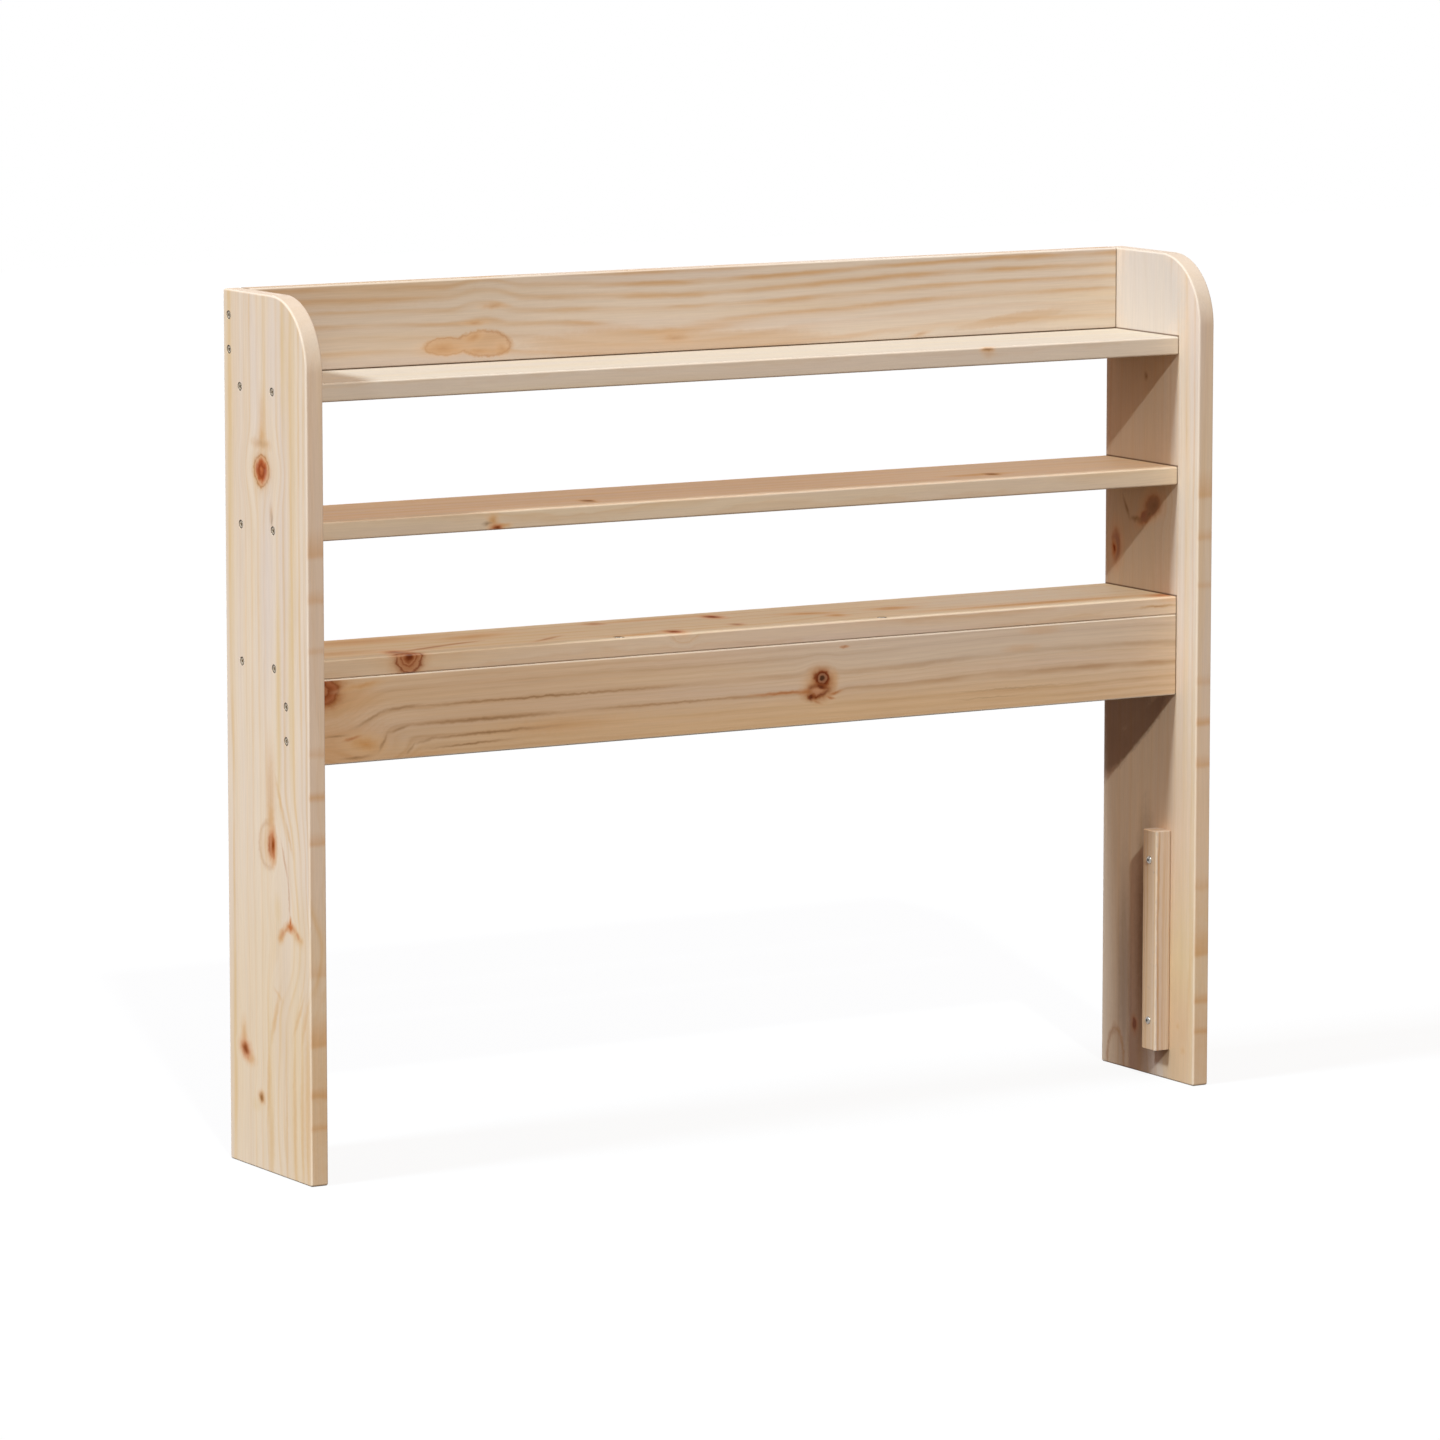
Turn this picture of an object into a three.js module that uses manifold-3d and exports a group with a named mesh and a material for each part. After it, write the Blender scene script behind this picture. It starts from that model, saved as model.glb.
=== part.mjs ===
// Headboard with shelves, in planed solid pine, that stands on the floor at the head of a bed.
// Millimetres. +X runs across the bed, +Y away from it, +Z up.
// The origin is on the floor, under the middle of the headboard.
import * as THREE from 'three';
import { mergeVertices } from 'three/addons/utils/BufferGeometryUtils.js';
import Module from 'manifold-3d';

const wasm = await Module();
wasm.setup();

// Boards
const clearWidth = 1206; // between the side panels: a 1200 mm bed with 3 mm to spare on each side
const panelThickness = 22;
const panelDepth = 204;
const panelCornerRadius = 84; // the quarter round at the top of each panel's front edge
const shelfThickness = 22;
const shelfDepth = 160;
const shelfClearHeight = 138; // above the bottom shelf and above the middle one
const railBottomHeight = 483; // clear height over the floor, for the bed's head end
const railHeight = 100;
const railThickness = 22;
const backBoardHeight = 100;
const backBoardThickness = 22;

// Cleats, the battens low on the panels that the bed's head end is fixed against
const cleatLength = 275;
const cleatBottomHeight = 38;
const cleatDepth = 30;
const cleatThickness = 22;
const cleatSetback = 52; // from the panel's front edge to the cleat's front face

// Edges and joints
const arrisRadius = 2.5; // every long edge is sanded round
const panelEndRadius = 3; // the corners of the panel's outline, except the big one
const cleatEndEase = 1;
const jointGap = 0.1; // a dry joint's hairline, taken off the piece that butts

// Countersunk furniture screws with a hexagon socket
const screwLength = 50;
const screwHeadDiameter = 10;
const screwHeadRim = 0.8;
const screwConeDepth = 2.4;
const screwNeckDiameter = 6.4;
const screwNeckStop = 5; // the plain neck ends this far before the joint
const screwCoreDiameter = 4.6;
const screwTipLength = 4;
const screwSink = 0.4; // the head lies this far under the face
const screwSocketWidth = 4;
const screwSocketDepth = 2.6;

// Where the furniture screws go
const shelfScrewInset = 40; // from the shelf's front and back edges
const boardScrewInset = 30; // from the top and bottom edges of the rail and the back board
const backBoardScrewFromBack = 13.5;
const railTopScrewSpacing = 365; // the two that go down through the bottom shelf

// Dome head screws in the cleats
const cleatScrewInset = 37; // from the cleat's ends
const cleatScrewDiameter = 4.4;
const cleatScrewBite = 13; // how far it goes into the panel
const domeDiameter = 8.4;
const domeHeight = 2.6;
const domeSocketWidth = 3;
const domeSocketDepth = 1.5;

// Drilling
const drillClearance = 0.3; // between a screw and its hole, all round
const drillOverrun = 2; // a blind hole runs this far past the screw's tip
const cutMargin = 1; // a cutter starts this far outside the face

// Facets
const arrisSteps = 3;
const cornerSteps = 18;
const screwSides = 16;

// Heights and places that follow from the sizes above
const halfWidth = clearWidth / 2 + panelThickness;
const innerFace = clearWidth / 2;
const backFace = panelDepth / 2;
const panelFront = -panelDepth / 2;
const shelfFront = backFace - shelfDepth;
const bottomShelfZ = railBottomHeight + railHeight;
const shelfPitch = shelfThickness + shelfClearHeight;
const shelves = [
  { name: 'bottom_shelf', z: bottomShelfZ },
  { name: 'middle_shelf', z: bottomShelfZ + shelfPitch },
  { name: 'top_shelf', z: bottomShelfZ + 2 * shelfPitch }
];
const backBoardZ = bottomShelfZ + 2 * shelfPitch + shelfThickness;
const panelHeight = backBoardZ + backBoardHeight;
const boardLength = clearWidth - 2 * jointGap;

// A closed geometry as a solid that can be cut.
function solidFrom( geometry ) {
  const bare = geometry.clone();
  bare.deleteAttribute( 'normal' );
  bare.deleteAttribute( 'uv' );
  const welded = mergeVertices( bare, 1e-4 );
  return new wasm.Manifold( new wasm.Mesh( {
    numProp: 3,
    vertProperties: new Float32Array( welded.attributes.position.array ),
    triVerts: new Uint32Array( welded.index.array )
  } ) );
}

// A cut solid as a geometry again.
function geometryFrom( solid ) {
  const mesh = solid.getMesh();
  const geometry = new THREE.BufferGeometry();
  geometry.setAttribute( 'position', new THREE.BufferAttribute( mesh.vertProperties, 3 ) );
  geometry.setIndex( new THREE.BufferAttribute( mesh.triVerts, 1 ) );
  geometry.computeVertexNormals();
  return geometry;
}

// Takes the cutters out of a geometry, one after the other.
function drill( geometry, cutters ) {
  let solid = solidFrom( geometry );
  for ( const cutter of cutters ) solid = solid.subtract( solidFrom( cutter ) );
  return geometryFrom( solid );
}

// A rectangle about the origin with a quarter circle at each corner, anticlockwise from low left.
function roundedRectangle( width, height, radii, steps ) {
  const signs = [ [ - 1, - 1 ], [ 1, - 1 ], [ 1, 1 ], [ - 1, 1 ] ];
  const points = signs.flatMap( ( [ sx, sy ], corner ) => {
    const r = radii[ corner ];
    const start = Math.PI + corner * Math.PI / 2;
    const arc = new THREE.EllipseCurve( sx * ( width / 2 - r ), sy * ( height / 2 - r ), r, r,
      start, start + Math.PI / 2 );
    return arc.getPoints( steps[ corner ] );
  } );
  return new THREE.Shape( points );
}

// Extrudes a shape by length about its middle plane, with its end edges rounded by ease.
function prism( shape, length, ease, easeSteps ) {
  const geometry = new THREE.ExtrudeGeometry( shape, {
    depth: length - 2 * ease,
    steps: 1,
    bevelEnabled: ease > 0,
    bevelThickness: ease,
    bevelSize: ease,
    bevelOffset: - ease,
    bevelSegments: easeSteps
  } );
  return geometry.translate( 0, 0, ease - length / 2 );
}

// Turns a prism so that its section lies in Y and Z and its length runs along X.
const alongX = new THREE.Matrix4().makeBasis(
  new THREE.Vector3( 0, 1, 0 ), new THREE.Vector3( 0, 0, 1 ), new THREE.Vector3( 1, 0, 0 ) );

// A board between the side panels, with its four long edges rounded.
function board( depth, height ) {
  const section = roundedRectangle( depth, height, Array( 4 ).fill( arrisRadius ),
    Array( 4 ).fill( arrisSteps ) );
  return prism( section, boardLength, 0, 0 ).applyMatrix4( alongX );
}

// A body of revolution about Y from [radius, y] pairs that run from the axis down to the axis.
function turned( profile, sides ) {
  const points = profile.map( ( [ r, y ] ) => new THREE.Vector2( r, y ) ).reverse();
  return new THREE.LatheGeometry( points, sides );
}

// A hexagon socket's cutter, open at the top of a head that ends at y = top.
function socketCutter( width, depth, top ) {
  const height = depth + cutMargin;
  const cutter = new THREE.CylinderGeometry( width / Math.sqrt( 3 ), width / Math.sqrt( 3 ), height, 6 );
  return cutter.translate( 0, top + cutMargin - height / 2, 0 );
}

// Furniture screw, head up at y = -screwSink, for a hole through a piece of this thickness.
function furnitureScrew( through ) {
  const head = screwHeadDiameter / 2;
  const neck = screwNeckDiameter / 2;
  const core = screwCoreDiameter / 2;
  const top = - screwSink;
  const underRim = top - screwHeadRim;
  const underCone = underRim - screwConeDepth;
  const neckEnd = - ( through - screwNeckStop );
  const tip = top - screwLength;
  const body = turned( [
    [ 0, top ], [ head, top ], [ head, underRim ], [ neck, underCone ], [ neck, neckEnd ],
    [ core, neckEnd - ( neck - core ) ], [ core, tip + screwTipLength ], [ 0, tip ]
  ], screwSides );
  return drill( body, [ socketCutter( screwSocketWidth, screwSocketDepth, top ) ] );
}

// The stepped hole that a furniture screw needs: countersink, clearance hole, then pilot hole.
function furnitureScrewBore( through ) {
  const head = screwHeadDiameter / 2 + drillClearance;
  const neck = screwNeckDiameter / 2 + drillClearance;
  const core = screwCoreDiameter / 2 + drillClearance;
  const underRim = - screwSink - screwHeadRim - drillClearance;
  const joint = - ( through + jointGap / 2 );
  const bottom = - ( screwSink + screwLength + drillOverrun );
  return turned( [
    [ 0, cutMargin ], [ head, cutMargin ], [ head, underRim ], [ neck, underRim - screwConeDepth ],
    [ neck, joint ], [ core, joint ], [ core, bottom ], [ 0, bottom ]
  ], screwSides );
}

// Dome head screw, its head resting on y = 0.
function cleatScrew() {
  const shank = cleatScrewDiameter / 2;
  const tip = - ( cleatThickness + jointGap + cleatScrewBite );
  const dome = new THREE.EllipseCurve( 0, 0, domeDiameter / 2, domeHeight, Math.PI / 2, 0, true );
  const crown = dome.getPoints( 5 ).slice( 1 ).map( ( p ) => [ p.x, p.y ] );
  const body = turned( [
    [ 0, domeHeight ], ...crown, [ shank, 0 ], [ shank, tip + cleatScrewDiameter ], [ 0, tip ]
  ], screwSides );
  return drill( body, [ socketCutter( domeSocketWidth, domeSocketDepth, domeHeight ) ] );
}

// The hole for a cleat screw, through the cleat and blind in the panel.
function cleatScrewBore() {
  const shank = cleatScrewDiameter / 2 + drillClearance;
  const bottom = - ( cleatThickness + jointGap + cleatScrewBite + drillOverrun );
  return turned( [ [ 0, cutMargin ], [ shank, cutMargin ], [ shank, bottom ], [ 0, bottom ] ],
    screwSides );
}

// Materials
const pine = ( color ) => new THREE.MeshStandardMaterial( { color, roughness: 0.62, metalness: 0 } );
const steel = ( color ) => new THREE.MeshStandardMaterial( { color, roughness: 0.35, metalness: 0.9 } );
const panelColour = 0xdccab0;
const shelfColour = 0xd8bd98;
const railColour = 0xc9a880;
const screwColour = 0x9a958e;
const domeColour = 0xc9c8c6;

const headboard = new THREE.Group();
headboard.name = 'headboard_with_shelves';

function place( name, geometry, material, x, y, z ) {
  const mesh = new THREE.Mesh( geometry, material );
  mesh.name = name;
  mesh.position.set( x, y, z );
  headboard.add( mesh );
  return mesh;
}

// A screw's own -Y axis points the way it is driven: along +X, along -X or down.
const drive = {
  intoLeft: new THREE.Euler( 0, 0, Math.PI / 2 ),
  intoRight: new THREE.Euler( 0, 0, - Math.PI / 2 ),
  down: new THREE.Euler( Math.PI / 2, 0, 0 )
};

// A cutter in a screw's own frame, turned and moved to the piece that it cuts.
function cutterAt( cutter, turn, x, y, z ) {
  const matrix = new THREE.Matrix4().makeRotationFromEuler( turn );
  matrix.setPosition( x, y, z );
  return cutter.clone().applyMatrix4( matrix );
}

// The horizontal boards, each with where its middle lies and where its end screws go.
const railY = shelfFront + railThickness / 2;
const railZ = railBottomHeight + ( railHeight - jointGap ) / 2;
const backBoardY = backFace - backBoardThickness / 2;
const boards = [
  ...shelves.map( ( shelf ) => {
    const middle = shelf.z + shelfThickness / 2;
    return {
      name: shelf.name,
      depth: shelfDepth,
      height: shelfThickness,
      y: ( shelfFront + backFace ) / 2,
      z: middle,
      colour: shelfColour,
      screws: [ [ shelfFront + shelfScrewInset, middle ], [ backFace - shelfScrewInset, middle ] ]
    };
  } ),
  {
    name: 'front_rail',
    depth: railThickness,
    height: railHeight - jointGap,
    y: railY,
    z: railZ,
    colour: railColour,
    screws: [ boardScrewInset, railHeight - boardScrewInset ]
      .map( ( up ) => [ railY, railBottomHeight + up ] )
  },
  {
    name: 'upper_back_board',
    depth: backBoardThickness,
    height: backBoardHeight - jointGap,
    y: backBoardY,
    z: backBoardZ + ( backBoardHeight + jointGap ) / 2,
    colour: shelfColour,
    screws: [ boardScrewInset, backBoardHeight - boardScrewInset ]
      .map( ( up ) => [ backFace - backBoardScrewFromBack, backBoardZ + up ] )
  }
];

// Screws down through the bottom shelf into the rail's top edge
const railTopScrewXs = [ - railTopScrewSpacing / 2, railTopScrewSpacing / 2 ];
const bottomShelfTop = bottomShelfZ + shelfThickness;
const railTopBores = railTopScrewXs.map( ( x ) =>
  cutterAt( furnitureScrewBore( shelfThickness ), drive.down, x, railY, bottomShelfTop ) );

// Each end screw's bore, at the outer face of both side panels
const endBore = furnitureScrewBore( panelThickness );
const boresOf = ( screws ) => screws.flatMap( ( [ y, z ] ) => [
  cutterAt( endBore, drive.intoLeft, - halfWidth, y, z ),
  cutterAt( endBore, drive.intoRight, halfWidth, y, z )
] );

// Boards, drilled in place and then named and coloured
for ( const piece of boards ) {
  const cutters = boresOf( piece.screws );
  if ( piece.name === 'bottom_shelf' || piece.name === 'front_rail' ) cutters.push( ...railTopBores );
  const moved = cutters.map( ( cutter ) => cutter.clone().translate( 0, - piece.y, - piece.z ) );
  place( piece.name, drill( board( piece.depth, piece.height ), moved ), pine( piece.colour ),
    0, piece.y, piece.z );
}

// Cleat places on the inner face of each panel
const cleatX = innerFace - jointGap - cleatThickness / 2;
const cleatY = panelFront + cleatSetback + cleatDepth / 2;
const cleatZ = cleatBottomHeight + cleatLength / 2;
const cleatScrewZs = [ cleatBottomHeight + cleatScrewInset,
  cleatBottomHeight + cleatLength - cleatScrewInset ];
const cleatScrewFace = innerFace - jointGap - cleatThickness;

// Side panels and cleats, one of each per side
const sides = [
  { name: 'left', sign: - 1, screwIn: drive.intoLeft, cleatScrewIn: drive.intoRight },
  { name: 'right', sign: 1, screwIn: drive.intoRight, cleatScrewIn: drive.intoLeft }
];
const panelRadii = [ panelEndRadius, panelEndRadius, panelEndRadius, panelCornerRadius ];
const panelOutline = roundedRectangle( panelDepth, panelHeight, panelRadii,
  [ arrisSteps, arrisSteps, arrisSteps, cornerSteps ] );
const panelBlank = prism( panelOutline, panelThickness, arrisRadius, arrisSteps ).applyMatrix4( alongX );
const cleatOutline = roundedRectangle( cleatThickness, cleatDepth, Array( 4 ).fill( arrisRadius ),
  Array( 4 ).fill( arrisSteps ) );
const cleatBlank = prism( cleatOutline, cleatLength, cleatEndEase, 1 );
const endScrews = boards.flatMap( ( piece ) =>
  piece.screws.map( ( [ y, z ], i ) => ( { name: `${ piece.name }_screw_${ i + 1 }`, y, z } ) ) );

for ( const side of sides ) {
  const panelX = side.sign * ( innerFace + panelThickness / 2 );
  const cleatBores = cleatScrewZs.map( ( z ) =>
    cutterAt( cleatScrewBore(), side.cleatScrewIn, side.sign * cleatScrewFace, cleatY, z ) );
  const panelBores = endScrews.map( ( { y, z } ) =>
    cutterAt( endBore, side.screwIn, side.sign * halfWidth, y, z ) );
  const inPanel = [ ...panelBores, ...cleatBores ]
    .map( ( cutter ) => cutter.clone().translate( - panelX, 0, - panelHeight / 2 ) );
  place( `${ side.name }_side_panel`, drill( panelBlank, inPanel ), pine( panelColour ),
    panelX, 0, panelHeight / 2 );
  const inCleat = cleatBores
    .map( ( cutter ) => cutter.clone().translate( - side.sign * cleatX, - cleatY, - cleatZ ) );
  place( `${ side.name }_cleat`, drill( cleatBlank, inCleat ), pine( shelfColour ),
    side.sign * cleatX, cleatY, cleatZ );
}

// Screws through the side panels into every board's end
const endScrew = furnitureScrew( panelThickness );
for ( const side of sides ) {
  for ( const { name, y, z } of endScrews ) {
    const screw = place( `${ side.name }_${ name }`, endScrew.clone(), steel( screwColour ),
      side.sign * halfWidth, y, z );
    screw.rotation.copy( side.screwIn );
  }
}

// Screws down through the bottom shelf
const shelfScrew = furnitureScrew( shelfThickness );
railTopScrewXs.forEach( ( x, i ) => {
  const screw = place( `rail_top_screw_${ i + 1 }`, shelfScrew.clone(), steel( screwColour ),
    x, railY, bottomShelfTop );
  screw.rotation.copy( drive.down );
} );

// Screws from the cleats into the panels
for ( const side of sides ) {
  cleatScrewZs.forEach( ( z, i ) => {
    const screw = place( `${ side.name }_cleat_screw_${ i + 1 }`, cleatScrew(), steel( domeColour ),
      side.sign * cleatScrewFace, cleatY, z );
    screw.rotation.copy( side.cleatScrewIn );
  } );
}

export default headboard;
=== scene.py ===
"""Headboard with shelves in planed, unfinished pine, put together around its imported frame.

Metres in the frame's axes: +X along the boards, +Y towards the wall, +Z up, origin on the floor.
"""

import math

import bmesh
import bpy
import numpy as np
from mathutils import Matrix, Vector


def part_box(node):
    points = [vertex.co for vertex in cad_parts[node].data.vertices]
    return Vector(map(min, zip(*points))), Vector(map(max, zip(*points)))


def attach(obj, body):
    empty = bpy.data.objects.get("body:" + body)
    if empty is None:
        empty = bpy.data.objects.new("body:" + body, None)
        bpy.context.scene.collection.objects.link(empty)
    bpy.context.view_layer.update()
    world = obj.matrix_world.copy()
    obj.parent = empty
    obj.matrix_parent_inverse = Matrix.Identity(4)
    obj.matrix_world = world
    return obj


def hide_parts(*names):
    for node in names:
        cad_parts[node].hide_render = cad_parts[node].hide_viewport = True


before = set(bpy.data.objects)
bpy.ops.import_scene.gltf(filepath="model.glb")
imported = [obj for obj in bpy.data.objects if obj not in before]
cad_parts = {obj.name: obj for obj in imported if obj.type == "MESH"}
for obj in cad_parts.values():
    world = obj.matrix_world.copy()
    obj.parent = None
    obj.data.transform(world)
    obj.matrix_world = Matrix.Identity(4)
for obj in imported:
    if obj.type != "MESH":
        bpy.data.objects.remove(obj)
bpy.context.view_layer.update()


# Camera and stage: a pale floor under a plain white surround, as in a small photo studio. One soft lamp
# stands to the left, one crisper lamp in front, and a low fill behind serves the views from the back.
def rgb(hex_colour):
    """An sRGB hex colour as linear red, green, blue and alpha."""
    channels = np.array([int(hex_colour[i:i + 2], 16) for i in (1, 3, 5)]) / 255
    linear = np.where(channels <= 0.04045, channels / 12.92, ((channels + 0.055) / 1.055) ** 2.4)
    return (*linear.tolist(), 1.0)


def node(tree, kind, inputs=None, stops=None, out=0, **settings):
    """Adds a shader node, sets its properties, fills or links its inputs, and sets a ramp's stops.

    It gives back the output that out names, or all the outputs where out is None.
    """
    made = tree.nodes.new("ShaderNode" + kind)
    for name, value in settings.items():
        setattr(made, name, value)
    for key, value in (inputs or {}).items():
        if isinstance(value, bpy.types.NodeSocket):
            tree.links.new(value, made.inputs[key])
        else:
            made.inputs[key].default_value = value
    if stops:
        ramp = made.color_ramp.elements
        while len(ramp) < len(stops):
            ramp.new(0.5)
        for element, (position, colour) in zip(ramp, stops):
            element.position = position
            element.color = colour
    if out is None or not made.outputs:
        return made.outputs
    return made.outputs[out]


def empty_tree(holder):
    """The node tree of a material or world, with its first nodes taken out."""
    holder.use_nodes = True
    holder.node_tree.nodes.clear()
    return holder.node_tree


scene = bpy.context.scene
scene.view_settings.view_transform = "Standard"

camera = bpy.data.objects.new("camera", bpy.data.cameras.new("camera"))
camera.data.sensor_width = 36.0
camera.data.lens = 191.85
camera.data.clip_end = 100.0
camera.location = (-4.6721, -7.8096, 1.7564)
camera.rotation_euler = (math.radians(82.064), 0.0, math.radians(-30.804))
scene.collection.objects.link(camera)
scene.camera = camera

# Each lamp's light: the way it travels, its strength, its spread in degrees and its colour
lamps = {
    "left_lamp": ((1.0, 0.055, -1.02), 3.5, 9.5, "#D4EAFF"),
    "front_lamp": ((0.42, 1.2, -1.0), 1.85, 2.0, "#EFFDFF"),
    "back_fill": ((-0.45, -0.9, -0.04), 1.1, 20.0, "#F4F7FF"),
}
for lamp_name, (travel, strength, spread, tint) in lamps.items():
    light = bpy.data.lights.new(lamp_name, "SUN")
    light.energy = strength
    light.angle = math.radians(spread)
    light.color = rgb(tint)[:3]
    holder = bpy.data.objects.new(lamp_name, light)
    direction = Vector(travel)
    holder.rotation_euler = direction.to_track_quat("-Z", "Y").to_euler()
    holder.location = -2.0 * direction
    scene.collection.objects.link(holder)

# The surround is white to the camera and in gloss, and a dim warm light on the wood
scene.world = bpy.data.worlds.new("white_surround")
tree = empty_tree(scene.world)
path = node(tree, "LightPath", out=None)
seen = node(tree, "Math", {0: path["Is Camera Ray"], 1: path["Is Glossy Ray"]}, operation="MAXIMUM")
seen = node(tree, "Math", {0: seen, 1: path["Is Transmission Ray"]}, operation="MAXIMUM")
ambient = node(tree, "Background", {"Color": rgb("#FFDBCF"), "Strength": 0.49})
white = node(tree, "Background", {"Color": rgb("#FFFFFF"), "Strength": 1.0})
shown = node(tree, "MixShader", {0: seen, 1: ambient, 2: white})
node(tree, "OutputWorld", {"Surface": shown})

floor_reach = 12.0
floor_corners = [(x * floor_reach, y * floor_reach, 0) for x, y in ((-1, -1), (1, -1), (1, 1), (-1, 1))]
floor_mesh = bpy.data.meshes.new("floor")
floor_mesh.from_pydata(floor_corners, [], [(0, 1, 2, 3)])
floor = bpy.data.objects.new("floor", floor_mesh)
scene.collection.objects.link(floor)

# Floor paint: to the camera nine parts of white to one of lit paint, which keeps a faint shadow. Light that
# bounces off it meets a dull grey, so that little of it comes up under the shelves.
floor_paint = bpy.data.materials.new("matt_white_floor_paint")
tree = empty_tree(floor_paint)
path = node(tree, "LightPath", out=None)
seen = node(tree, "Math", {0: path["Is Camera Ray"], 1: path["Is Glossy Ray"]}, operation="MAXIMUM")
whitened = node(tree, "Math", {0: seen, 1: 0.9}, operation="MULTIPLY")
paint = node(tree, "Mix", {0: path["Is Diffuse Ray"], 6: rgb("#E8E6E2"), 7: rgb("#3A3836")}, out=2,
             data_type="RGBA")
matt = node(tree, "BsdfDiffuse", {"Color": paint})
glow = node(tree, "Emission", {"Color": rgb("#FFFFFF"), "Strength": 1.0})
laid = node(tree, "MixShader", {0: whitened, 1: matt, 2: glow})
node(tree, "OutputMaterial", {"Surface": laid})
floor.data.materials.append(floor_paint)


# Side panels: two pine boards, 22 mm thick, that stand on the floor and carry everything else. The top front
# corner is sawn to a quarter round, every arris is sanded, and the screw holes are drilled from outside.
MM = 0.001
panel_round = 84.0


def wash(colour, heart, middle, reach=0.6, end=1.3):
    """A look of one colour: how far it covers at the heart and at reach, and nothing at end."""
    return [(0, colour, heart), (reach, colour, middle), (end, colour, 0)]


# A look says, for distances from a mark's middle in its own half sizes, its colour and how far it covers
looks = {
    "live_knot": [
        (0, "#D07C4E", 0.98), (0.16, "#BC6234", 0.98), (0.38, "#9A4218", 0.98), (0.55, "#B4592C", 0.98),
        (0.68, "#C87C4C", 0.95), (0.82, "#D89E6C", 0.9), (0.94, "#BC8250", 0.95), (1.05, "#D8AA7C", 0.7),
        (1.3, "#E2BF98", 0.35), (1.9, "#E6C8A4", 0)],
    "red_knot": [
        (0, "#A84C20", 0.98), (0.35, "#923A12", 0.98), (0.7, "#9A441A", 0.98), (0.92, "#B86E40", 0.95),
        (1.1, "#D0966A", 0.8), (1.45, "#E0B084", 0.5), (2.2, "#E5BB91", 0)],
    "orange_knot": [
        (0, "#C8703E", 0.98), (0.45, "#C4743F", 0.95), (0.9, "#D29464", 0.85), (1.3, "#DDA77A", 0.6),
        (2.0, "#E4B68A", 0)],
    "dark_knot": [
        (0, "#7E380E", 0.98), (0.4, "#964A1E", 0.95), (0.8, "#BA7244", 0.9), (1.15, "#D08E60", 0.75),
        (1.7, "#DEA87A", 0.4), (2.5, "#E4B68A", 0)],
    "dot": [
        (0, "#8A5527", 0.95), (0.5, "#A5713F", 0.95), (0.9, "#C6925F", 0.8), (1.3, "#DBAC7C", 0.5),
        (2.1, "#E6BD90", 0)],
    "flame": [(0, "#D29A60", 0.95), (0.5, "#D9A874", 0.8), (0.95, "#E1B88A", 0.45), (1.5, "#E4C098", 0)],
    "line": [(0, "#B57142", 0.9), (0.6, "#C68A5C", 0.65), (1.2, "#D8A67C", 0)],
    "ring": [(0, "#C89668", 0), (0.75, "#C89668", 0.1), (0.95, "#C08A5C", 0.8), (1.15, "#C89668", 0)],
    "smudge": [(0, "#8F7255", 0.85), (0.6, "#A88A6B", 0.6), (1.4, "#B99C7C", 0)],
    "band": [(0, "#D8A265", 0.7), (0.6, "#DCAE78", 0.5), (1.3, "#E2C098", 0)],
    "bark": [(0, "#B98A5A", 0.9), (0.5, "#C89C6E", 0.7), (1.0, "#D6B088", 0.35), (1.6, "#DDBA94", 0)],
    "corner_shade": [(0, "#7E6049", 0.75), (0.5, "#7E6049", 0.65), (1.3, "#9A7B60", 0)],
    "under_rail_shade": wash("#7E6049", 0.6, 0.56, 0.85, 1.2),
    # Paler wood, and on the right panel's inner face a painted light strip along the back edge
    "sapwood": wash("#FFEBD0", 0.85, 0.7, 0.55, 1.25),
    # Painted shade: greyer and darker, against warm bounced light
    "chalk": wash("#CDC1B2", 0.8, 0.75, 0.75, 1.2),
    "tan": wash("#E2C08E", 0.8, 0.6),
    "rose": wash("#E4CEBA", 0.9, 0.7),
    # Painted shade: a darker wash laid where less light should reach the wood
    "dusk": wash("#CBB499", 0.9, 0.8),
    "biscuit": wash("#DCB48C", 0.85, 0.7),
    "honey": wash("#EAC69D", 0.6, 0.5),
}


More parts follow.
